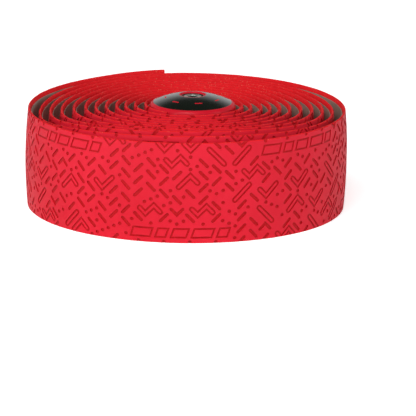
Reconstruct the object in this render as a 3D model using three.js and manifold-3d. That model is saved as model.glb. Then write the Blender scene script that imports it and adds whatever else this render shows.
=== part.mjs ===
// Roll of padded handlebar tape, standing on its cut edge, with an expanding bar-end plug in its core.
// Millimetres, +Z up. The origin is the middle of the roll's footprint, on the surface that it stands on.
import * as THREE from "three";
import { mergeVertices } from "three/addons/utils/BufferGeometryUtils.js";
import Module from "manifold-3d";

const wasm = await Module();
wasm.setup();

// The tape strip: thin at its two cut edges and crowned on both faces.
const tapeWidth = 30;
const tapeEdge = 0.7;
const gripCrown = 0.7; // the grip face stands this much further out at mid width
const backCrown = 1.2; // the back stands this much further in at mid width
const crownShoulder = 5; // width from each edge to a crown's corner

// The release liner over the adhesive on the tape's back.
const linerMargin = 1.5;
const linerThickness = 0.15;
const linerGap = 0.1;

// The winding, seen from above: the radius shrinks as it goes anticlockwise from the outer end.
const turnGap = 0.26;
const fullTurns = 11;
const outerEndAngle = 99.1;
const innerEndAngle = 240;
const coarseTurns = 5; // inner turns drawn with fewer sides
const coarseSides = 24;
const fineSides = 40;

// The plug's cap: a low dome on a rounded rim, with a countersunk seat for the screw.
const capRadius = 12.95;
const capClearance = 0.65; // from the rim to the nearest turn, were the plug in the middle of the hole
const plugNudge = 0.2; // the plug sits this far along X from the middle of the hole
const capSink = 1.45; // the cap's underside below the tape's top edge
const rimHeight = 0.9; // from the underside to the widest level
const rimChamfer = 0.3;
const shoulderInset = 1.1; // the dome starts this far in from the rim
const shoulderRise = 1.85;
const domeRise = 4.5; // the crown of the dome above the widest level
const seatRadius = 3.8;
const seatDepth = 0.5;
const spigotRadius = 5;
const spigotLength = 3;
const webThickness = 1.6; // under the screw's head

// The screw that pulls the wedge nut up.
const headRadius = 2.9;
const headHeight = 3;
const shankRadius = 1.5;
const socketAcrossFlats = 2.9;
const socketDepth = 1.7;
const shankTipHeight = 1.2; // the screw's tip above the surface
const screwClearance = 0.3;

// The expanding sleeve and the wedge nut at its foot.
const sleeveRadius = 10;
const sleeveChamfer = 0.8;
const ribProud = 0.3;
const ribWidth = 1.6;
const ribCount = 3;
const ribPitch = 6;
const slotWidth = 1.4;
const slotLength = 17;
const nutRadius = 9;
const nutBaseHeight = 3;
const nutChamfer = 0.6;
const coneFootRadius = 7.2;
const coneTopRadius = 4.2;
const coneHeight = 9;
const seatGap = 0.3; // left between pieces that bear on each other

// How finely the round pieces are drawn.
const roundSides = 36;
const shoulderSteps = 5;
const domeSteps = 7;
const weldTolerance = 1e-4;

const radians = THREE.MathUtils.degToRad;
const windingPitch = tapeEdge + gripCrown + backCrown + linerGap + linerThickness + turnGap;
const windingAngle = innerEndAngle - outerEndAngle + 360 * fullTurns;

// The widest circle that fits in a spiral's hole is larger than the inner radius by a quarter of the pitch.
// Its centre lies three tenths of the pitch off the axis, at a fixed bearing from the inner end.
const holeGain = 0.25 * windingPitch;
const holeShift = 0.3 * windingPitch;
const holeBearing = 146;
const coreRadius = capRadius + capClearance - holeGain;
const plugX = plugNudge + holeShift * Math.cos(radians(innerEndAngle + holeBearing));
const plugY = holeShift * Math.sin(radians(innerEndAngle + holeBearing));

// Radius of the grip face's edge after so many degrees of winding, counted from the inner end.
const windingRadius = (angle) => coreRadius + tapeEdge + (windingPitch * angle) / 360;

// The line of the grip face's edge at mid width, from the inner end outwards. Its stations lie on the same
// rays in every turn, so that the flats of neighbouring turns are parallel.
class WindingLine extends THREE.Curve {
  constructor() {
    super();
    const coarseStep = 360 / coarseSides;
    const fineStep = 360 / fineSides;
    this.stations = [];
    for (let angle = 0; angle < 360 * coarseTurns; angle += coarseStep) this.stations.push(angle);
    for (let angle = 360 * coarseTurns; angle < windingAngle; angle += fineStep) this.stations.push(angle);
    this.stations.push(windingAngle);
  }
  get steps() {
    return this.stations.length - 1;
  }
  angleAt(u) {
    return this.stations[Math.round(u * this.steps)];
  }
  getPointAt(u, target = new THREE.Vector3()) {
    const angle = this.angleAt(u);
    const ray = radians(innerEndAngle - angle);
    const radius = windingRadius(angle);
    return target.set(radius * Math.cos(ray), radius * Math.sin(ray), tapeWidth / 2);
  }
  getTangentAt(u, target = new THREE.Vector3()) {
    const ray = radians(innerEndAngle - this.angleAt(u));
    return target.set(Math.sin(ray), -Math.cos(ray), 0);
  }
}

// A section is drawn with x across the strip's width and y outwards from the grip face's edge.
function sweep(points) {
  const line = new WindingLine();
  const section = new THREE.Shape(points.map(([x, y]) => new THREE.Vector2(x, y)));
  return new THREE.ExtrudeGeometry(section, { steps: line.steps, extrudePath: line });
}

const stripEdge = tapeWidth / 2;
const stripShoulder = stripEdge - crownShoulder;
const gripFace = (across) => gripCrown * (1 - (across / stripEdge) ** 2);
const backFace = (across) => -tapeEdge - backCrown * (1 - (across / stripEdge) ** 2);

function tapeGeometry() {
  const back = [-stripEdge, -stripShoulder, 0, stripShoulder, stripEdge];
  const grip = [...back].reverse();
  return sweep([
    ...back.map((across) => [across, backFace(across)]),
    ...grip.map((across) => [across, gripFace(across)]),
  ]);
}

// The liner keeps the same small distance from the tape's back all the way across.
function linerGeometry() {
  const margin = stripEdge - linerMargin;
  const inward = [-margin, -stripShoulder, 0, stripShoulder, margin];
  const outward = [...inward].reverse();
  return sweep([
    ...inward.map((across) => [across, backFace(across) - linerGap - linerThickness]),
    ...outward.map((across) => [across, backFace(across) - linerGap]),
  ]);
}

// A turned piece from [radius, height] points that run anticlockwise round the section's right half.
function turned(points) {
  const profile = points.map(([radius, height]) => new THREE.Vector2(radius, height));
  profile.push(profile[0].clone());
  return new THREE.LatheGeometry(profile, roundSides).rotateX(Math.PI / 2);
}

function toSolid(geometry) {
  const bare = geometry.clone();
  bare.deleteAttribute("normal");
  bare.deleteAttribute("uv");
  const merged = mergeVertices(bare, weldTolerance);
  return new wasm.Manifold(
    new wasm.Mesh({
      numProp: 3,
      vertProperties: merged.attributes.position.array,
      triVerts: new Uint32Array(merged.index.array),
    }),
  );
}

function toGeometry(solid) {
  const mesh = solid.getMesh();
  const geometry = new THREE.BufferGeometry();
  geometry.setAttribute("position", new THREE.BufferAttribute(mesh.vertProperties, 3));
  geometry.setIndex(new THREE.BufferAttribute(mesh.triVerts, 1));
  geometry.computeVertexNormals();
  return geometry;
}

const capUnderside = tapeWidth - capSink;
const widestLevel = capUnderside + rimHeight;
const domeEdge = capRadius - shoulderInset;
const domeHeight = domeRise - shoulderRise;
const domeSphere = (domeEdge ** 2 + domeHeight ** 2) / (2 * domeHeight);
const domeCentre = widestLevel + domeRise - domeSphere;
const seatRim = domeCentre + Math.sqrt(domeSphere ** 2 - seatRadius ** 2);
const headTop = seatRim - seatDepth;
const headFoot = headTop - headHeight;
const pocketRadius = headRadius + screwClearance;
const boreRadius = shankRadius + screwClearance;
const pocketFloor = headFoot - seatGap;
const spigotFoot = Math.min(capUnderside - spigotLength, pocketFloor - webThickness);

// Points of the dome between two radii, both ends included.
function domeArc(fromRadius, toRadius) {
  return Array.from({ length: domeSteps + 1 }, (_, i) => {
    const radius = fromRadius + ((toRadius - fromRadius) * i) / domeSteps;
    return [radius, domeCentre + Math.sqrt(domeSphere ** 2 - radius ** 2)];
  });
}

function capGeometry() {
  const shoulderArc = Array.from({ length: shoulderSteps }, (_, i) => {
    const turn = (Math.PI / 2) * (i / shoulderSteps);
    return [domeEdge + shoulderInset * Math.cos(turn), widestLevel + shoulderRise * Math.sin(turn)];
  });
  return turned([
    [boreRadius, spigotFoot],
    [spigotRadius, spigotFoot],
    [spigotRadius, capUnderside],
    [capRadius - rimChamfer, capUnderside],
    [capRadius, capUnderside + rimChamfer],
    ...shoulderArc,
    ...domeArc(domeEdge, seatRadius),
    [pocketRadius, headTop],
    [pocketRadius, pocketFloor],
    [boreRadius, pocketFloor],
  ]);
}

function screwGeometry() {
  const body = turned([
    [0, shankTipHeight],
    [shankRadius, shankTipHeight],
    [shankRadius, headFoot],
    [headRadius, headFoot],
    [headRadius, headTop - rimChamfer],
    [headRadius - rimChamfer, headTop],
    [0, headTop],
  ]);
  const cornerRadius = socketAcrossFlats / Math.sqrt(3);
  const socket = new THREE.CylinderGeometry(cornerRadius, cornerRadius, 2 * socketDepth, 6);
  socket.rotateX(Math.PI / 2).translate(0, 0, headTop);
  return toGeometry(toSolid(body).subtract(toSolid(socket)));
}

function sleeveGeometry() {
  const foot = nutBaseHeight + seatGap;
  const top = capUnderside - seatGap;
  const ribs = Array.from({ length: ribCount }, (_, i) => {
    const level = foot + 2 * sleeveChamfer + i * ribPitch;
    return [
      [sleeveRadius, level],
      [sleeveRadius + ribProud, level + ribWidth],
      [sleeveRadius, level + ribWidth],
    ];
  });
  const counterboreFloor = spigotFoot - seatGap;
  const body = turned([
    [coneFootRadius + seatGap, foot],
    [sleeveRadius - sleeveChamfer, foot],
    [sleeveRadius, foot + sleeveChamfer],
    ...ribs.flat(),
    [sleeveRadius, top - sleeveChamfer],
    [sleeveRadius - sleeveChamfer, top],
    [spigotRadius + seatGap, top],
    [spigotRadius + seatGap, counterboreFloor],
    [boreRadius, counterboreFloor],
    [boreRadius, foot + coneHeight + seatGap],
    [coneTopRadius + seatGap, foot + coneHeight + seatGap],
  ]);
  const span = 3 * sleeveRadius;
  const slot = new THREE.BoxGeometry(span, slotWidth, 2 * slotLength).translate(0, 0, foot);
  const crossSlot = slot.clone().rotateZ(Math.PI / 2);
  return toGeometry(toSolid(body).subtract(toSolid(slot)).subtract(toSolid(crossSlot)));
}

function wedgeNutGeometry() {
  return turned([
    [boreRadius, 0],
    [nutRadius - nutChamfer, 0],
    [nutRadius, nutChamfer],
    [nutRadius, nutBaseHeight],
    [coneFootRadius, nutBaseHeight],
    [coneTopRadius, nutBaseHeight + coneHeight],
    [boreRadius, nutBaseHeight + coneHeight],
  ]);
}

const gripFoam = new THREE.MeshStandardMaterial({ color: 0xe01a2c, roughness: 0.6, metalness: 0 });
const linerPaper = new THREE.MeshStandardMaterial({ color: 0x85756b, roughness: 0.7, metalness: 0 });
const capPlastic = new THREE.MeshStandardMaterial({ color: 0xc8102a, roughness: 0.2, metalness: 0 });
const screwSteel = new THREE.MeshStandardMaterial({ color: 0x9aa5a0, roughness: 0.3, metalness: 1 });
const sleeveRubber = new THREE.MeshStandardMaterial({ color: 0x1c1c1d, roughness: 0.7, metalness: 0 });
const nutPlastic = new THREE.MeshStandardMaterial({ color: 0x2a2a2c, roughness: 0.5, metalness: 0 });

function piece(name, geometry, material) {
  const mesh = new THREE.Mesh(geometry, material);
  mesh.name = name;
  return mesh;
}

const winding = new THREE.Group();
winding.add(piece("grip_tape", tapeGeometry(), gripFoam));
winding.add(piece("release_liner", linerGeometry(), linerPaper));

const plug = new THREE.Group();
plug.add(piece("plug_cap", capGeometry(), capPlastic));
plug.add(piece("plug_screw", screwGeometry(), screwSteel));
plug.add(piece("plug_sleeve", sleeveGeometry(), sleeveRubber));
plug.add(piece("plug_wedge_nut", wedgeNutGeometry(), nutPlastic));
plug.position.set(plugX, plugY, 0);

const roll = new THREE.Group();
roll.add(winding, plug);
const footprint = new THREE.Box3().setFromObject(roll).getCenter(new THREE.Vector3());
roll.position.set(-footprint.x, -footprint.y, 0);

const part = new THREE.Group();
part.add(roll);
export default part;
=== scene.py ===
import math
import random

import bmesh
import bpy
import numpy as np
from mathutils import Matrix, Vector, noise


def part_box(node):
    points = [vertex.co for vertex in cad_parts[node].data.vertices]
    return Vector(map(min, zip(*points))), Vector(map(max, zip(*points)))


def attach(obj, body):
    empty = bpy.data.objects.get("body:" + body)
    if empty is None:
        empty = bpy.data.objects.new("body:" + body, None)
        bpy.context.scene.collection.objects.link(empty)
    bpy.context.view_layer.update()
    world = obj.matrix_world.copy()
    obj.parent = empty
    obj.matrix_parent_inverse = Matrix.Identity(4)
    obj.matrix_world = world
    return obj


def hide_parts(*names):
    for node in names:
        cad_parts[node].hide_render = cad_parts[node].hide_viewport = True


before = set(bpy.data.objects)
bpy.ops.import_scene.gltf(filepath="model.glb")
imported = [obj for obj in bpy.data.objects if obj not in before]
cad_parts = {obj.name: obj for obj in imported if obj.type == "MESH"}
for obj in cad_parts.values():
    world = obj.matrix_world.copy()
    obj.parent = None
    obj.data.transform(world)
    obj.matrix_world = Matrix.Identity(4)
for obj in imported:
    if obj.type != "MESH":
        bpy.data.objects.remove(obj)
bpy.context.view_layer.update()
mm = 0.001
facing = 0.9                       # a normal's z past this counts as facing up or down

# the spiral of the tape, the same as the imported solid's
winding = {
    "turns": 11 + (240 - 99.1) / 360,     # the inner end lies at 240 degrees
    "pitch": 3.11 * mm,
    "outerEnd": math.radians(99.1),
    "innerRadius": 13.5225 * mm,   # of the grip face at the inner end
    "holeShift": 0.933 * mm,       # from the spiral's axis to the plug's
    "holeBearing": math.radians(26),
    "plugNudge": 0.2 * mm,         # the plug sits this far along X in the hole
    "stepLength": 2.24 * mm,
}
plugLow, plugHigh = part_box("plug_screw")
plugCentre = (plugLow + plugHigh) / 2
spiralAxis = Vector((
    plugCentre.x - winding["plugNudge"] - winding["holeShift"] * math.cos(winding["holeBearing"]),
    plugCentre.y - winding["holeShift"] * math.sin(winding["holeBearing"]),
    0,
))
tapeLow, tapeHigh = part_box("grip_tape")
tapeWidth = tapeHigh.z - tapeLow.z
windingGrowth = winding["pitch"] / math.tau
windingAngle = winding["turns"] * math.tau
stripLength = winding["innerRadius"] * windingAngle + windingGrowth * windingAngle ** 2 / 2


def deselectAll():
    if bpy.context.object and bpy.context.object.mode != "OBJECT":
        bpy.ops.object.mode_set(mode="OBJECT")
    bpy.ops.object.select_all(action="DESELECT")


def activate(piece):
    deselectAll()
    piece.select_set(True)
    bpy.context.view_layer.objects.active = piece


def editAll(piece):
    activate(piece)
    bpy.ops.object.mode_set(mode="EDIT")
    bpy.ops.mesh.select_all(action="SELECT")


def applyModifier(piece, kind, **settings):
    activate(piece)
    modifier = piece.modifiers.new(kind.title(), kind)
    for key, value in settings.items():
        setattr(modifier, key, value)
    bpy.ops.object.modifier_apply(modifier=modifier.name)


def outlineFace(name, points, fill="NGON"):
    # a filled outline in the XY plane, made from a circle whose corners are moved to the points
    deselectAll()
    bpy.ops.mesh.primitive_circle_add(vertices=len(points), radius=1, fill_type=fill)
    piece = bpy.context.object
    piece.name = name
    for vertex, point in zip(piece.data.vertices, points):
        vertex.co = (*point, 0) if len(point) == 2 else point
    return piece


def faceOutwards(piece):
    editAll(piece)
    bpy.ops.mesh.normals_make_consistent(inside=False)
    bpy.ops.object.mode_set(mode="OBJECT")


def smoothByAngle(piece, degrees):
    activate(piece)
    bpy.ops.object.shade_smooth_by_angle(angle=math.radians(degrees))


class Signal:
    # a shader socket that takes part in Python arithmetic
    def __init__(self, shader, socket):
        self.shader = shader
        self.socket = socket

    def math(self, operation, *others, clamp=False):
        settings = {"operation": operation, "use_clamp": clamp}
        return self.shader.node("ShaderNodeMath", settings, dict(enumerate((self, *others))))

    def __add__(self, other):
        return self.math("ADD", other)

    def __sub__(self, other):
        return self.math("SUBTRACT", other)

    def __rsub__(self, other):
        return (self * -1) + other

    def __mul__(self, other):
        return self.math("MULTIPLY", other)

    __radd__ = __add__
    __rmul__ = __mul__

    def power(self, exponent):
        return self.math("POWER", exponent)

    def step(self, low, high):
        # 0 below low, 1 above high, straight between
        settings = {"interpolation_type": "LINEAR", "clamp": True}
        inputs = {"Value": self, "From Min": low, "From Max": high}
        return self.shader.node("ShaderNodeMapRange", settings, inputs)


class Shader:
    def __init__(self, name, **constants):
        self.material = bpy.data.materials.new(name)
        self.material.use_nodes = True
        self.tree = self.material.node_tree
        self.surface = self.tree.nodes["Principled BSDF"]
        for key, value in constants.items():
            self.surface.inputs[key.replace("_", " ")].default_value = value

    def node(self, kind, settings=None, inputs=None, output=0):
        made = self.tree.nodes.new(kind)
        for key, value in (settings or {}).items():
            setattr(made, key, value)
        for key, value in (inputs or {}).items():
            self.put(made.inputs[key], value)
        return Signal(self, made.outputs[output])

    def put(self, socket, value):
        if isinstance(value, Signal):
            self.tree.links.new(value.socket, socket)
        else:
            socket.default_value = value

    def feed(self, **sockets):
        for key, value in sockets.items():
            self.put(self.surface.inputs[key.replace("_", " ")], value)

    def place(self):
        return self.node("ShaderNodeTexCoord", output="Object")

    def parts(self, vector):
        split = self.node("ShaderNodeSeparateXYZ", None, {0: vector})
        outputs = split.socket.node.outputs
        return [Signal(self, outputs[i]) for i in range(3)]

    def aroundPlug(self):
        # how far east and north of the plug's axis, the radius from it, and the height
        x, y, z = self.parts(self.place())
        east = x - plugCentre.x
        north = y - plugCentre.y
        return east, north, (east * east + north * north).power(0.5), z

    def grain(self, scale, detail=2.0, roughness=0.5):
        inputs = {"Vector": self.place(), "Scale": scale, "Detail": detail, "Roughness": roughness}
        return self.node("ShaderNodeTexNoise", None, inputs)

    def cells(self, scale):
        return self.node("ShaderNodeTexVoronoi", None, {"Vector": self.place(), "Scale": scale})

    def blend(self, factor, low, high):
        inputs = {0: factor, 6: low, 7: high}
        return self.node("ShaderNodeMix", {"data_type": "RGBA"}, inputs, output=2)

    def bump(self, height, distance, strength=1.0, normal=None):
        inputs = {"Height": height, "Distance": distance, "Strength": strength}
        if normal:
            inputs["Normal"] = normal
        return self.node("ShaderNodeBump", None, inputs)


def colour(red, green, blue):
    # from an eight bit screen colour to the linear one that a shader takes
    shares = (red / 255, green / 255, blue / 255)
    linear = [c / 12.92 if c <= 0.04045 else ((c + 0.055) / 1.055) ** 2.4 for c in shares]
    return (*linear, 1.0)


# finishes
def gripFoamMaterial():
    # smooth satin polymer skin over foam
    shader = Shader("grip_foam_skin", Specular_IOR_Level=0.22)
    broad = shader.grain(45, 3)
    fine = shader.grain(2600, 2)
    tone = shader.blend(broad.step(0.35, 0.65), colour(229, 27, 49), colour(238, 33, 56))
    shader.feed(Base_Color=tone, Roughness=broad * 0.12 + 0.4)
    shader.feed(Normal=shader.bump(fine, 0.02 * mm, 0.6))
    return shader.material


def markMaterial():
    # the pressed marks are a deeper, glossier red than the skin
    shader = Shader("pressed_mark", Specular_IOR_Level=0.18)
    fine = shader.grain(1800, 2)
    tone = shader.blend(fine.step(0.3, 0.7), colour(188, 15, 24), colour(208, 20, 30))
    shader.feed(Base_Color=tone, Roughness=fine * 0.15 + 0.34)
    shader.feed(Normal=shader.bump(fine, 0.02 * mm, 0.5))
    return shader.material


def cutFoamMaterial():
    # open cells and pale flecks where the foam is slit and skived
    shader = Shader("cut_foam", Specular_IOR_Level=0.12)
    cell = shader.cells(2100)
    coarse = shader.grain(650, 4, 0.65)
    fleck = shader.cells(1500).step(0.26, 0.12) * shader.grain(260, 2).step(0.42, 0.56)
    red = shader.blend(coarse.step(0.3, 0.7), colour(226, 24, 32), colour(240, 32, 40))
    tone = shader.blend(fleck * 0.42, red, colour(222, 150, 120))
    shader.feed(Base_Color=tone, Roughness=coarse * 0.25 + 0.6)
    relief = shader.bump(cell, 0.08 * mm, 0.6)
    shader.feed(Normal=shader.bump(coarse, 0.15 * mm, 0.6, relief))
    return shader.material


def linerMaterial():
    # siliconised paper, a little soiled and creased
    shader = Shader("liner_paper", Specular_IOR_Level=0.35)
    cloud = shader.grain(120, 4, 0.6)
    fibre = shader.grain(1500, 3)
    tone = shader.blend(cloud.step(0.3, 0.7), colour(140, 124, 112), colour(168, 150, 136))
    shader.feed(Base_Color=tone, Roughness=fibre * 0.2 + 0.42)
    shader.feed(Normal=shader.bump(fibre, 0.03 * mm, 0.6))
    return shader.material


capPrintAndShade = {
    "rimRadius": 11.75 * mm,     # the dark print ends here
    "seatRadius": 4.08 * mm,     # and starts here
    "lipRadius": 3.5 * mm,       # the red lip's inner side; inside it the recess is painted dark as shade
    "dashCount": 7,
    "dashInner": 7.9 * mm,
    "dashOuter": 8.4 * mm,
    "dashShare": 0.3,            # of each dash's part of the ring
    "dashEdge": 0.01,
    "edge": 0.06 * mm,
    "from": 0.2 * mm,            # above the tape's upper edge
    "to": 0.3 * mm,
}


def capMaterial():
    # gloss red moulding with a dark print on the dome, broken by a ring of plain red dashes; the seat's
    # recess inside the red lip is painted dark as shade
    shader = Shader("cap_gloss", Specular_IOR_Level=0.12, Coat_Roughness=0.12)
    east, north, radius, z = shader.aroundPlug()
    edge = capPrintAndShade["edge"]
    inside = radius.step(capPrintAndShade["rimRadius"] + edge, capPrintAndShade["rimRadius"] - edge)
    outside = radius.step(capPrintAndShade["seatRadius"] - edge, capPrintAndShade["seatRadius"] + edge)
    top = z.step(tapeHigh.z + capPrintAndShade["from"], tapeHigh.z + capPrintAndShade["to"])
    turn = north.math("ARCTAN2", east) * (capPrintAndShade["dashCount"] / math.tau) + capPrintAndShade["dashCount"]
    share = (turn.math("FRACT") - 0.5).math("ABSOLUTE")
    dash = share.step(capPrintAndShade["dashShare"] / 2 + capPrintAndShade["dashEdge"], capPrintAndShade["dashShare"] / 2)
    dash = dash * radius.step(capPrintAndShade["dashInner"] - edge, capPrintAndShade["dashInner"] + edge)
    dash = dash * radius.step(capPrintAndShade["dashOuter"] + edge, capPrintAndShade["dashOuter"] - edge)
    # painted shade: the recess inside the red lip gets the print's dark colour and gloss, standing in for
    # its shadow
    recessShade = radius.step(capPrintAndShade["lipRadius"] + edge, capPrintAndShade["lipRadius"] - edge)
    printAndShade = inside * outside * top * (1 - dash) + recessShade * top
    cloud = shader.grain(260, 3)
    red = shader.blend(cloud, colour(206, 16, 38), colour(220, 24, 46))
    dark = shader.blend(cloud, colour(13, 19, 13), colour(19, 27, 19))
    shader.feed(Base_Color=shader.blend(printAndShade, red, dark))
    shader.feed(Roughness=cloud * 0.06 + 0.5 - printAndShade * 0.3)
    shader.feed(Coat_Weight=printAndShade * 0.5 + 0.1)
    shader.feed(Normal=shader.bump(shader.grain(1200, 2), 0.01 * mm, 0.4))
    return shader.material


def steelMaterial():
    shader = Shader("screw_steel", Metallic=1.0)
    scratch = shader.grain(900, 4, 0.7)
    bright = shader.blend(scratch, colour(140, 158, 148), colour(186, 200, 190))
    # painted shade: the socket and the head's bevel are coloured dark in place of the shadow that falls in
    # them
    radius, z = shader.aroundPlug()[2:]
    unshadedTop = z.step(plugHigh.z - screw["paintedShadeDepth"], plugHigh.z - screw["unshadedDepth"])
    unshadedTop = unshadedTop * radius.step(screw["paintedShadeRadius"], screw["unshadedRadius"])
    # the near black colour is the painted shade, the scratched steel is the unshaded top
    tone = shader.blend(unshadedTop, colour(34, 36, 33), bright)
    shader.feed(Base_Color=tone, Roughness=scratch * 0.25 + 0.55 - unshadedTop * 0.3)
    shader.feed(Normal=shader.bump(scratch, 0.01 * mm, 0.5))
    return shader.material


def rubberMaterial():
    shader = Shader("sleeve_rubber", Specular_IOR_Level=0.35)
    fine = shader.grain(1400, 3)
    shader.feed(Base_Color=shader.blend(fine, colour(22, 22, 23), colour(40, 40, 41)))
    shader.feed(Roughness=fine * 0.25 + 0.5, Normal=shader.bump(fine, 0.03 * mm, 0.6))
    return shader.material


def nylonMaterial():
    shader = Shader("nut_nylon", Specular_IOR_Level=0.45)
    fine = shader.grain(2200, 2)
    shader.feed(Base_Color=shader.blend(fine, colour(30, 30, 32), colour(44, 44, 46)))
    shader.feed(Roughness=fine * 0.15 + 0.38, Normal=shader.bump(fine, 0.015 * mm, 0.6))
    return shader.material


def paint(piece, *materials):
    piece.data.materials.clear()
    for material in materials:
        piece.data.materials.append(material)


# the tape is shaped as a flat strip first: x from the outer end inwards, y across, z out of the grip face
tape = {
    "edge": 0.7 * mm,
    "gripCrown": 0.7 * mm,
    "backCrown": 1.2 * mm,
    "rounding": 0.18 * mm,
    "skive": 0.4 * mm,           # height of the slope that is pared off behind each edge
    "skiveFrom": 0.7,            # share of the edge's thickness where it starts
    "rows": (12.4, 8, 3),        # mm from mid width, for the liner too, so that both bend alike
    "linerMargin": 1.2,          # these three in mm
    "linerGap": 0.1,
    "linerThickness": 0.15,
    "gripFrom": 0.6,             # share of the edge's thickness that still belongs to the grip face
    "sliver": 0.0002 * mm,
    "smoothAngle": 32,
    "lean": 0.10 * mm,           # how far the thin edges wander in and out
    "rise": 0.06 * mm,           # and up and down
    "roughness": 0.035 * mm,
}

# the noise behind lean, rise and roughness: the lengths of its waves, and the layer that each takes
edgeNoise = {
    "leanLength": 34 * mm,
    "leanLayer": 0.5,
    "riseLength": 55 * mm,
    "riseLayer": 4.5,
    "roughLength": 2.1 * mm,
    "roughDepth": 1 * mm,
    "roughLayer": 9.5,
    "upperEdge": 7.3,            # how far away the upper edge's noise is taken
    "fade": 4,                   # power by which it dies away from the edges
}

# how the loose winding lies: the upper edge of each turn at its back, left, front and right, in mm
looseness = {
    "firstBearing": math.radians(90),
    "rises": (
        (-0.15, -0.25, 0.0, -0.05), (0.1, -1.0, 1.35, -0.7), (0.1, -0.9, 2.1, -0.4), (0.1, -0.8, 1.9, -0.1),
        (0.2, -0.5, 1.6, -0.1), (0.2, 0.0, 1.4, 0.1), (0.3, 0.0, 1.3, 0.2), (0.3, 0.2, 1.2, 0.1),
        (0.3, 0.4, 1.1, 0.2), (0.3, 0.5, 1.0, 0.4), (0.4, 0.6, 1.0, 0.7), (0.6, 0.9, 0.9, 0.9),
    ),
    "leans": (
        (0.0, -0.1, 0.0, 0.15), (0.0, -0.2, 0.0, -0.3), (0.0, -0.3, 0.0, -0.2), (0.0, -0.5, 0.0, -0.2),
        (0.0, -1.0, 0.0, -0.4), (0.0, -1.5, 0.0, -0.6), (0.0, -1.4, 0.0, -0.5), (0.0, -1.3, 0.0, -0.3),
        (0.0, -1.3, 0.0, 0.1), (0.0, -1.0, 0.0, 0.2), (0.0, -0.7, 0.0, 0.7), (0.0, -0.7, 0.0, 0.0),
    ),
    "endLift": 0.6 * mm,
    "endReach": math.radians(20),
    "dips": ((1, 1.2), (2, 0.7), (3, 0.5)),     # turn and depth in mm
    "dipBearing": math.radians(188),
    "dipReach": math.radians(24),
    "leanFrom": -0.2,            # share of the half width where the leaning starts
    "leanTo": 0.75,
}


def woundAngle(distance):
    # angle from the outer end of a place on the strip
    inner = stripLength - distance
    start = winding["innerRadius"]
    fromInner = (-start + np.sqrt(start ** 2 + 2 * windingGrowth * inner)) / windingGrowth
    return windingAngle - fromInner


def stripBar(name, outline, material):
    # the section, drawn out to the strip's length and divided along it
    piece = outlineFace(name, [(0, across * mm, out * mm) for across, out in outline])
    editAll(piece)
    bpy.ops.mesh.extrude_region_move(TRANSFORM_OT_translate={"value": (stripLength, 0, 0)})
    bpy.ops.object.mode_set(mode="OBJECT")
    points = piece.data.vertices
    for polygon in piece.data.polygons:
        polygon.select = False
    for edge in piece.data.edges:
        first, second = (points[i].co.x for i in edge.vertices)
        edge.select = abs(first - second) > stripLength / 2
    bpy.context.tool_settings.mesh_select_mode = (False, True, False)
    bpy.ops.object.mode_set(mode="EDIT")
    cuts = int(stripLength / winding["stepLength"]) - 1
    bpy.ops.mesh.subdivide_edgering(number_cuts=cuts, interpolation="LINEAR")
    bpy.context.tool_settings.mesh_select_mode = (True, False, False)
    bpy.ops.object.mode_set(mode="OBJECT")
    faceOutwards(piece)
    paint(piece, material)
    return piece


def backFace(across):
    # of a place in mm from mid width
    half = tapeWidth / 2 / mm
    return -(tape["edge"] + tape["backCrown"] * (1 - (across / half) ** 2)) / mm


def tapeOutline():
    half = tapeWidth / 2 / mm
    edge = tape["edge"] / mm
    rounding = tape["rounding"] / mm
    skive = tape["skive"] / mm
    upper = [(row, 0) for row in reversed(tape["rows"])]
    upper += [
        (half - rounding, 0),
        (half, -rounding),
        (half, -edge * tape["skiveFrom"]),
        (half - skive, -edge),
    ]
    upper += [(row, backFace(row)) for row in tape["rows"]]
    return upper + [(-across, out) for across, out in reversed(upper)]


def linerOutline():
    rows = [tapeWidth / 2 / mm - tape["linerMargin"], *tape["rows"]]
    rows += [-row for row in reversed(rows)]
    outer = [(row, backFace(row) - tape["linerGap"]) for row in rows]
    return outer + [(row, out - tape["linerThickness"]) for row, out in reversed(outer)]


def looseAt(key, angle):
    # a smooth curve through the four values of each turn
    first = looseness["firstBearing"] - winding["outerEnd"]
    values = np.array(looseness[key]).ravel() * mm
    place = np.clip((angle - first) / (math.tau / 4), 0, len(values) - 1.001)
    low = place.astype(int)
    share = place - low
    share = share * share * (3 - 2 * share)
    return values[low] * (1 - share) + values[low + 1] * share


def liftAt(angle):
    # height of the upper edge over its level place
    lift = looseAt("rises", angle) + looseness["endLift"] * np.exp(-(angle / looseness["endReach"]) ** 2)
    for turn, depth in looseness["dips"]:
        middle = turn * math.tau + looseness["dipBearing"] - winding["outerEnd"]
        lift = lift - depth * mm * np.exp(-((angle - middle) / looseness["dipReach"]) ** 2)
    return lift


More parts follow.
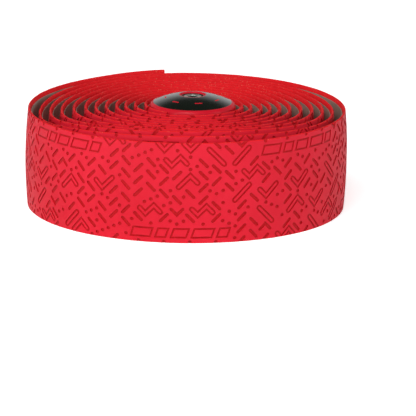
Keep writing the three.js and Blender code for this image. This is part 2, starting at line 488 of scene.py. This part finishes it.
def wind(piece, crowned):
    # crown the grip face, let the edges wander, then roll the strip up
    count = len(piece.data.vertices)
    flat = np.empty(count * 3, dtype=np.float64)
    piece.data.vertices.foreach_get("co", flat)
    flat = flat.reshape(-1, 3)
    along, across, out = flat.T.copy()
    half = tapeWidth / 2
    share = across / half
    if crowned:
        grip = out > -tape["edge"] * tape["gripFrom"]
        out = out + np.where(grip, tape["gripCrown"] * (1 - share ** 2), 0)
    waves = np.empty((count, 3))
    for i in range(count):
        side = edgeNoise["upperEdge"] if share[i] > 0 else 0.0
        deep = side + out[i] / edgeNoise["roughDepth"]
        waves[i] = [
            noise.noise(Vector((along[i] / edgeNoise["leanLength"], side, edgeNoise["leanLayer"]))),
            noise.noise(Vector((along[i] / edgeNoise["riseLength"], side, edgeNoise["riseLayer"]))),
            noise.noise(Vector((along[i] / edgeNoise["roughLength"], deep, edgeNoise["roughLayer"]))),
        ]
    angle = woundAngle(along)
    edgeward = np.abs(share) ** edgeNoise["fade"]
    leanSpan = looseness["leanTo"] - looseness["leanFrom"]
    leaning = np.clip((share - looseness["leanFrom"]) / leanSpan, 0, 1)
    leaning = leaning * leaning * (3 - 2 * leaning)
    upward = np.clip((share + 1) / 2, 0, 1) ** 2
    out = out + waves[:, 0] * tape["lean"] * edgeward + looseAt("leans", angle) * leaning
    wander = waves[:, 1] * tape["rise"] + waves[:, 2] * tape["roughness"]
    height = np.where(share > 0, wander, np.abs(wander)) * edgeward + liftAt(angle) * upward
    radius = winding["innerRadius"] + windingGrowth * (windingAngle - angle) + out
    ray = winding["outerEnd"] + angle
    wound = np.stack((
        spiralAxis.x + radius * np.cos(ray),
        spiralAxis.y + radius * np.sin(ray),
        half + across + height,
    ), axis=1)
    piece.data.vertices.foreach_set("co", wound.ravel())
    piece.data.update()


# pressed marks: own layout of strokes on a staggered grid
marks = {
    "depth": 0.22 * mm,
    "outlineDepth": 0.18 * mm,
    "overcut": 0.3 * mm,         # how far a cutter stands above the skin
    "column": 3.8 * mm,
    "row": 3.65 * mm,
    "clearance": 0.36 * mm,
    "dotClearance": 0.8 * mm,
    "halfWidth": 0.48 * mm,
    "dotRadius": 0.55 * mm,
    "stroke": 0.55 * mm,
    "outlineHalfWidth": 0.88 * mm,
    "patternLength": 348 * mm,   # full pattern on the turn that shows, edges only beyond
    "edgeRows": 11.2 * mm,
    "beyondEdge": 0.6 * mm,
    "rowsEachSide": 4,
    "outlinedShare": 0.26,
    "bentShare": 0.1,
    "dotShare": 0.2,
    "turnedShare": 0.12,
    "fillShifts": ((0, 0), (0.5, 0.25), (0.5, -0.25), (0, 0.5)),
    "blockPeriod": 78 * mm,
    "blockStart": 88 * mm,
    "blockRun": (6.4, 3.6, 5.0, 6.4, 3.6),
    "blockHeight": 3.2,
    "blockSlant": 1.1,
    "blockGap": 1.0,
    "blockInset": 0.4,
    "blockFromEdge": 3.1 * mm,
    "blockEndMargin": 5 * mm,
    "sampleStep": 0.45 * mm,
    "bucket": 10 * mm,           # length of strip whose samples are kept together
    "reach": 3 * mm,
    "seed": 11,
}


def strokeOutline(points, halfWidth, capSteps=4):
    # the outline of a round-ended stroke along the points, counter-clockwise
    ahead = [(b - a).normalized() for a, b in zip(points, points[1:])]

    def cap(centre, heading):
        start = math.atan2(heading.y, heading.x) - math.pi / 2
        turns = (start + math.pi * i / capSteps for i in range(capSteps + 1))
        return [centre + Vector((math.cos(t), math.sin(t))) * halfWidth for t in turns]

    def corner(before, after, point, side):
        bisector = (before + after).normalized()
        normal = Vector((bisector.y, -bisector.x)) * side
        return point + normal * (halfWidth / abs(bisector.dot(before)))

    right = [corner(ahead[i], ahead[i + 1], points[i + 1], 1) for i in range(len(ahead) - 1)]
    left = [corner(ahead[i], ahead[i + 1], points[i + 1], -1) for i in range(len(ahead) - 1)]
    return right + cap(points[-1], ahead[-1]) + left[::-1] + cap(points[0], -ahead[0])


def cutterMesh(name, outline, hollow):
    # one mark as a closed cutter that reaches from above the skin to its depth
    depth = marks["outlineDepth"] if hollow else marks["depth"]
    piece = outlineFace(name, [(p.x, p.y, -depth) for p in outline])
    editAll(piece)
    if hollow:
        bpy.ops.mesh.select_mode(type="FACE")
        bpy.ops.mesh.select_all(action="SELECT")
        bpy.ops.mesh.inset(thickness=marks["stroke"], use_boundary=True, use_even_offset=True)
        bpy.ops.mesh.delete(type="FACE")
        bpy.ops.mesh.select_mode(type="VERT")
        bpy.ops.mesh.select_all(action="SELECT")
    bpy.ops.mesh.extrude_region_move(TRANSFORM_OT_translate={"value": (0, 0, depth + marks["overcut"])})
    bpy.ops.mesh.select_all(action="SELECT")
    bpy.ops.mesh.normals_make_consistent(inside=False)
    bpy.ops.object.mode_set(mode="OBJECT")
    mesh = piece.data.copy()
    bpy.data.objects.remove(piece)
    return mesh


def sampled(points):
    # places along the points that the other marks keep clear of
    samples = []
    for a, b in zip(points, points[1:]):
        steps = max(2, int((b - a).length / marks["sampleStep"]))
        samples += [a.lerp(b, i / steps) for i in range(steps + 1)]
    return samples


def motif(name, points, hollow=False, wide=None):
    points = [Vector(p) * mm for p in points]
    halfWidth = wide or (marks["outlineHalfWidth"] if hollow else marks["halfWidth"])
    outline = strokeOutline(points, halfWidth)
    return {"mesh": cutterMesh(name, outline, hollow), "samples": sampled(points), "halfWidth": halfWidth}


def block(width):
    # an outlined slanted bar that stands in the plain rows along the edges
    def corners(inset):
        half = marks["blockHeight"] / 2 - inset
        lean = marks["blockSlant"] * half / marks["blockHeight"]
        reach = width / 2 - inset
        ring = [(-reach - lean, -half), (reach - lean, -half), (reach + lean, half), (-reach + lean, half)]
        return [Vector(corner) * mm for corner in ring]

    # the samples go all the way round, just inside the outline, so that its corners stay clear too
    inner = corners(marks["blockInset"])
    samples = sampled(inner + inner[:1])
    mesh = cutterMesh(f"block{width}", corners(0), True)
    return {"mesh": mesh, "samples": samples, "halfWidth": marks["blockInset"] * mm}


def motifs():
    arm = 1.03
    solid = {
        "rising": [(-arm, -arm), (arm, arm)],
        "falling": [(-arm, arm), (arm, -arm)],
    }
    bent = {
        "peak": [(-1.7, -0.85), (0, 0.85), (1.7, -0.85)],
        "valley": [(-1.7, 0.85), (0, -0.85), (1.7, 0.85)],
        "forward": [(-0.85, 1.7), (0.85, 0), (-0.85, -1.7)],
    }
    open_ = {
        "longRising": [(-2.2, -2.2), (2.2, 2.2)],
        "longFalling": [(-2.2, 2.2), (2.2, -2.2)],
        "roof": [(-3.4, -1.7), (0, 1.7), (2.1, -0.4)],
        "gutter": [(-2.1, 0.4), (0, -1.7), (3.4, 1.7)],
        "wave": [(-3.3, 0.9), (-1.6, -0.8), (0.9, 1.7), (2.8, -0.2)],
    }
    dot = {"dot": [(-0.03, 0), (0.03, 0)]}
    made = {name: motif(name, points) for name, points in {**solid, **bent}.items()}
    made.update({name: motif(name, points, True) for name, points in open_.items()})
    made.update({name: motif(name, points, wide=marks["dotRadius"]) for name, points in dot.items()})
    for width in sorted(set(marks["blockRun"])):
        made[f"block{width}"] = block(width)
    return made, list(open_), list(bent), list(solid)


def layOut(kinds, outlined, bent, solid):
    # big marks first, then corners, then bars, and dots where nothing else fits
    draw = random.Random(marks["seed"])
    placed = []
    buckets = {}

    def bucketOf(x):
        return int(x // marks["bucket"])

    def samplesNear(point):
        columns = range(bucketOf(point.x - marks["reach"]), bucketOf(point.x + marks["reach"]) + 1)
        return (entry for column in columns for entry in buckets.get(column, ()))

    def fits(kind, place, clearance=marks["clearance"]):
        halfWidth = kinds[kind]["halfWidth"]
        for sample in kinds[kind]["samples"]:
            point = place + sample
            for other, otherHalf in samplesNear(point):
                if (other - point).length < halfWidth + otherHalf + clearance:
                    return False
        return True

    def put(kind, place):
        placed.append((kind, place))
        for sample in kinds[kind]["samples"]:
            point = place + sample
            buckets.setdefault(bucketOf(point.x), []).append((point, kinds[kind]["halfWidth"]))

    half = tapeWidth / 2
    start = marks["blockStart"] - marks["blockPeriod"]
    while start < stripLength:
        for side, offset in ((1, 0), (-1, marks["blockPeriod"] / 2)):
            along = start + offset
            for width in marks["blockRun"]:
                place = Vector((along + width * mm / 2, side * (half - marks["blockFromEdge"])))
                if marks["blockEndMargin"] < place.x < stripLength - marks["blockEndMargin"]:
                    put(f"block{width}", place)
                along += (width + marks["blockGap"]) * mm
        start += marks["blockPeriod"]

    cells = []
    for i in range(1, int(stripLength / marks["column"])):
        for j in range(-marks["rowsEachSide"], marks["rowsEachSide"] + 1):
            across = (j + 0.5 * (i % 2)) * marks["row"]
            along = i * marks["column"]
            shown = along < marks["patternLength"] or abs(across) > marks["edgeRows"]
            if shown and abs(across) < half + marks["beyondEdge"]:
                cells.append((i, j, Vector((along, across))))
    shuffled = cells[:]
    draw.shuffle(shuffled)
    taken = set()
    for share, names in ((marks["outlinedShare"], outlined), (marks["bentShare"], bent)):
        for i, j, place in shuffled:
            if (i, j) in taken or draw.random() > share:
                continue
            kind = draw.choice(names)
            if fits(kind, place):
                put(kind, place)
                taken.add((i, j))
    for i, j, place in cells:
        if (i, j) in taken:
            continue
        if draw.random() < marks["dotShare"] and fits("dot", place):
            put("dot", place)
            continue
        swapped = draw.random() < marks["turnedShare"]
        for kind in (solid[(i + swapped) % 2], solid[(i + swapped + 1) % 2], "dot"):
            if fits(kind, place):
                put(kind, place)
                break
    for i, j, place in cells:
        if place.x > marks["patternLength"]:
            break
        for shift in marks["fillShifts"]:
            spot = place + Vector((shift[0] * marks["column"], shift[1] * marks["row"]))
            if fits("dot", spot, marks["dotClearance"]):
                put("dot", spot)
    return placed


def markCutters(material):
    kinds, outlined, bent, solid = motifs()
    placed = layOut(kinds, outlined, bent, solid)
    joined = bmesh.new()
    for kind, place in placed:
        before = len(joined.verts)
        joined.from_mesh(kinds[kind]["mesh"])
        joined.verts.ensure_lookup_table()
        fresh = joined.verts[before:]
        bmesh.ops.translate(joined, verts=fresh, vec=(place.x, place.y, 0))
    mesh = bpy.data.meshes.new("mark_cutters")
    joined.to_mesh(mesh)
    joined.free()
    cutters = bpy.data.objects.new("mark_cutters", mesh)
    bpy.context.scene.collection.objects.link(cutters)
    paint(cutters, material)
    print("marks", len(placed))
    return cutters


def makeTape():
    skin = gripFoamMaterial()
    pressed = markMaterial()
    cut = cutFoamMaterial()
    piece = stripBar("tape_winding", tapeOutline(), skin)
    piece.data.materials.append(cut)
    piece.data.materials.append(pressed)
    for polygon in piece.data.polygons:
        polygon.material_index = 0 if polygon.normal.z > facing else 1
    cutters = markCutters(pressed)
    applyModifier(piece, "BOOLEAN", operation="DIFFERENCE", solver="MANIFOLD", object=cutters,
                  material_mode="TRANSFER")
    bpy.data.objects.remove(cutters)
    # the boolean leaves a few faces without area
    editAll(piece)
    bpy.ops.mesh.quads_convert_to_tris()
    bpy.ops.mesh.dissolve_degenerate(threshold=tape["sliver"])
    bpy.ops.mesh.quads_convert_to_tris()
    bpy.ops.object.mode_set(mode="OBJECT")
    wind(piece, True)
    smoothByAngle(piece, tape["smoothAngle"])
    print("tape", len(piece.data.polygons), [m.name for m in piece.data.materials])
    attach(piece, "root")
    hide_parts("grip_tape")


def makeLiner():
    piece = stripBar("liner_strip", linerOutline(), linerMaterial())
    wind(piece, False)
    smoothByAngle(piece, tape["smoothAngle"])
    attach(piece, "root")
    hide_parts("release_liner")
    print("liner", len(piece.data.polygons))


# bar end plug
capLow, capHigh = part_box("plug_cap")
plug = {
    "capRadius": (capHigh.x - capLow.x) / 2,
    "underside": tapeHigh.z - 1.45 * mm,
    "rimHeight": 0.9 * mm,
    "rimChamfer": 0.3 * mm,
    "shoulderInset": 1.1 * mm,
    "shoulderRise": 1.85 * mm,
    "domeRise": 4.5 * mm,
    "seatRadius": 3.8 * mm,
    "seatDepth": 0.5 * mm,
    "pocketRadius": 3.2 * mm,
    "pocketDepth": 3.3 * mm,
    "boreRadius": 1.8 * mm,
    "spigotRadius": 5 * mm,
    "lip": 0.12 * mm,
    "sides": 96,
    "shoulderSteps": 10,
    "domeSteps": 16,
    "seam": 0.001 * mm,
    "smoothAngle": 38,
}


def turned(name, profile, sides):
    # a profile of radius and height spun about the plug's axis
    piece = outlineFace(name, [(radius, 0, height) for radius, height in profile], "NOTHING")
    editAll(piece)
    bpy.ops.mesh.spin(steps=sides, angle=math.tau, center=(0, 0, 0), axis=(0, 0, 1))
    bpy.ops.mesh.select_all(action="SELECT")
    bpy.ops.mesh.remove_doubles(threshold=plug["seam"])
    bpy.ops.mesh.normals_make_consistent(inside=False)
    bpy.ops.transform.translate(value=(plugCentre.x, plugCentre.y, 0))
    bpy.ops.object.mode_set(mode="OBJECT")
    return piece


def makeCap():
    domeEdge = plug["capRadius"] - plug["shoulderInset"]
    widest = plug["underside"] + plug["rimHeight"]
    domeHeight = plug["domeRise"] - plug["shoulderRise"]
    sphere = (domeEdge ** 2 + domeHeight ** 2) / (2 * domeHeight)
    centre = widest + plug["domeRise"] - sphere

    def domeAt(radius):
        return radius, centre + math.sqrt(sphere ** 2 - radius ** 2)

    quarter = [math.pi / 2 * i / plug["shoulderSteps"] for i in range(plug["shoulderSteps"])]
    shoulder = [
        (domeEdge + plug["shoulderInset"] * math.cos(t), widest + plug["shoulderRise"] * math.sin(t))
        for t in quarter
    ]
    seatRim = domeAt(plug["seatRadius"])[1]
    seatFloor = seatRim - plug["seatDepth"]
    lip = plug["lip"]
    inwards = plug["seatRadius"] + lip - domeEdge
    steps = plug["domeSteps"]
    dome = [domeAt(domeEdge + inwards * i / steps) for i in range(steps + 1)]
    profile = [
        (plug["boreRadius"], capLow.z),
        (plug["spigotRadius"], capLow.z),
        (plug["spigotRadius"], plug["underside"]),
        (plug["capRadius"] - plug["rimChamfer"], plug["underside"]),
        (plug["capRadius"], plug["underside"] + plug["rimChamfer"]),
        *shoulder,
        *dome,
        (plug["seatRadius"] - lip * 0.3, seatRim - lip * 0.4),
        (plug["seatRadius"] - lip * 2, seatFloor),
        (plug["pocketRadius"] + lip, seatFloor),
        (plug["pocketRadius"], seatFloor - lip),
        (plug["pocketRadius"], seatFloor - plug["pocketDepth"]),
        (plug["boreRadius"], seatFloor - plug["pocketDepth"]),
    ]
    piece = turned("dome_cap", profile, plug["sides"])
    paint(piece, capMaterial())
    smoothByAngle(piece, plug["smoothAngle"])
    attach(piece, "root")
    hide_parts("plug_cap")
    print("cap", len(piece.data.polygons))


screw = {
    "headRadius": 2.9 * mm,
    "headHeight": 3 * mm,
    "shankRadius": 1.5 * mm,
    "bevel": 0.28 * mm,
    "socketAcrossFlats": 2.9 * mm,
    "socketDepth": 1.7 * mm,
    "socketTurn": math.radians(12),
    "sides": 64,
    "bevelSegments": 3,
    "bevelAngle": math.radians(50),
    "smoothAngle": 35,
    "unshadedRadius": 2.55 * mm,    # plain steel inside this, painted shade on the bevel from the next one outwards
    "paintedShadeRadius": 2.7 * mm,
    "unshadedDepth": 0.15 * mm,     # the same, down from the top into the painted shade of the socket
    "paintedShadeDepth": 0.5 * mm,
}


def makeScrew():
    deselectAll()
    top = plugHigh.z
    bpy.ops.mesh.primitive_cylinder_add(
        vertices=screw["sides"], radius=screw["headRadius"], depth=screw["headHeight"],
        location=(plugCentre.x, plugCentre.y, top - screw["headHeight"] / 2),
    )
    piece = bpy.context.object
    piece.name = "socket_screw"
    bpy.ops.object.transform_apply(location=True, rotation=True, scale=True)
    for polygon in piece.data.polygons:
        polygon.select = polygon.normal.z < -facing
    for edge in piece.data.edges:
        edge.select = False
    for vertex in piece.data.vertices:
        vertex.select = False
    bpy.context.tool_settings.mesh_select_mode = (False, False, True)
    bpy.ops.object.mode_set(mode="EDIT")
    bpy.ops.mesh.inset(thickness=screw["headRadius"] - screw["shankRadius"])
    reach = top - screw["headHeight"] - plugLow.z
    bpy.ops.mesh.extrude_region_move(TRANSFORM_OT_translate={"value": (0, 0, -reach)})
    bpy.ops.object.mode_set(mode="OBJECT")
    bpy.context.tool_settings.mesh_select_mode = (True, False, False)
    deselectAll()
    bpy.ops.mesh.primitive_cylinder_add(
        vertices=6, radius=screw["socketAcrossFlats"] / math.sqrt(3), depth=2 * screw["socketDepth"],
        location=(plugCentre.x, plugCentre.y, top), rotation=(0, 0, screw["socketTurn"]),
    )
    socket = bpy.context.object
    applyModifier(piece, "BOOLEAN", operation="DIFFERENCE", solver="EXACT", object=socket)
    bpy.data.objects.remove(socket)
    applyModifier(piece, "BEVEL", width=screw["bevel"], segments=screw["bevelSegments"],
                  limit_method="ANGLE", angle_limit=screw["bevelAngle"])
    smoothByAngle(piece, screw["smoothAngle"])
    paint(piece, steelMaterial())
    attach(piece, "root")
    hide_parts("plug_screw")
    print("screw", len(piece.data.polygons))


def dressHiddenPlug():
    for node, material in (("plug_sleeve", rubberMaterial()), ("plug_wedge_nut", nylonMaterial())):
        paint(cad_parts[node], material)


# studio
studio = {
    "floorSize": 6.0,
    "floorGrey": 0.86,
    "floorGlow": 0.66,           # seen by the camera only
    "skyLow": 0.74,              # strength up to skyFrom, and skyHigh from skyTo upwards
    "skyHigh": 0.05,
    "skyFrom": 0.3,
    "skyTo": 0.6,
    "lampTarget": (0, 0, 0.015),
}

# place, size and watts
lamps = {
    "key_softbox": ((-0.3, -0.85, 1.15), (0.9, 0.7), 14.5),
    "left_softbox": ((-0.75, -0.75, 0.25), (0.12, 0.45), 0.9),
    "side_softbox": ((1.0, -0.3, 0.5), (0.4, 0.6), 1.2),
}


def makeFloor():
    deselectAll()
    bpy.ops.mesh.primitive_plane_add(size=studio["floorSize"], location=(0, 0, 0))
    floor = bpy.context.object
    floor.name = "studio_floor"
    shader = Shader("studio_floor", Roughness=0.9, Specular_IOR_Level=0.0)
    shader.feed(Base_Color=(*(studio["floorGrey"],) * 3, 1.0))
    seen = shader.node("ShaderNodeLightPath", output="Is Camera Ray")
    glow = shader.node("ShaderNodeEmission", None, {"Strength": seen * studio["floorGlow"]})
    total = shader.node("ShaderNodeAddShader", None, {0: Signal(shader, shader.surface.outputs[0]), 1: glow})
    shader.tree.links.new(total.socket, shader.tree.nodes["Material Output"].inputs["Surface"])
    paint(floor, shader.material)


def makeWorld():
    world = bpy.data.worlds.new("studio_world")
    bpy.context.scene.world = world
    world.use_nodes = True
    tree = world.node_tree
    background = tree.nodes["Background"]
    place = tree.nodes.new("ShaderNodeTexCoord")
    split = tree.nodes.new("ShaderNodeSeparateXYZ")
    tree.links.new(place.outputs["Generated"], split.inputs[0])
    fade = tree.nodes.new("ShaderNodeMapRange")
    fade.inputs["From Min"].default_value = studio["skyFrom"]
    fade.inputs["From Max"].default_value = studio["skyTo"]
    fade.inputs["To Min"].default_value = studio["skyLow"]
    fade.inputs["To Max"].default_value = studio["skyHigh"]
    tree.links.new(split.outputs["Z"], fade.inputs["Value"])
    seen = tree.nodes.new("ShaderNodeLightPath")
    strength = tree.nodes.new("ShaderNodeMix")
    tree.links.new(seen.outputs["Is Camera Ray"], strength.inputs[0])
    tree.links.new(fade.outputs[0], strength.inputs[2])
    strength.inputs[3].default_value = 1.0
    tree.links.new(strength.outputs[0], background.inputs["Strength"])
    background.inputs["Color"].default_value = (1, 1, 1, 1)


def softbox(name, place, size, watts):
    deselectAll()
    bpy.ops.object.light_add(type="AREA", location=place)
    lamp = bpy.context.object
    lamp.name = name
    lamp.data.shape = "RECTANGLE"
    lamp.data.size, lamp.data.size_y = size
    lamp.data.energy = watts
    aim = Vector(studio["lampTarget"]) - Vector(place)
    lamp.rotation_euler = aim.to_track_quat("-Z", "Y").to_euler()


camera = {
    "elevation": 13.6,
    "roll": 0.54,
    "distance": 1.5,
    "pixelsPerMetre": 3334.0,
    "imageSize": 416,
    "targetPixel": (188.6, 155.2),  # where the roll's middle lands in the picture
    "sensor": 36.0,
    "clipEnd": 20,
}


def makeCamera():
    target = Vector((spiralAxis.x, spiralAxis.y, tapeWidth / 2))
    tilt = math.radians(camera["elevation"])
    back = Vector((0, -math.cos(tilt), math.sin(tilt)))
    place = target + back * camera["distance"]
    focal = camera["pixelsPerMetre"] * camera["distance"]
    middle = camera["imageSize"] / 2
    right = (camera["targetPixel"][0] - middle) / focal
    down = (camera["targetPixel"][1] - middle) / focal
    roll = math.radians(camera["roll"])
    turn = (-back).to_track_quat("-Z", "Y").to_matrix()
    turn = turn @ Matrix.Rotation(roll, 3, "Z")
    turn = turn @ Matrix.Rotation(math.atan(right), 3, "Y") @ Matrix.Rotation(math.atan(down), 3, "X")
    data = bpy.data.cameras.new("camera")
    data.sensor_width = camera["sensor"]
    data.lens = focal / camera["imageSize"] * camera["sensor"]
    data.clip_end = camera["clipEnd"]
    holder = bpy.data.objects.new("camera", data)
    holder.matrix_world = Matrix.Translation(place) @ turn.to_4x4()
    bpy.context.scene.collection.objects.link(holder)
    bpy.context.scene.camera = holder


makeCamera()
makeTape()
makeLiner()
makeCap()
makeScrew()
dressHiddenPlug()
makeFloor()
makeWorld()
for name, settings in lamps.items():
    softbox(name, *settings)
print("studio", len(lamps), "lamps")
bpy.context.scene.view_settings.view_transform = "Standard"
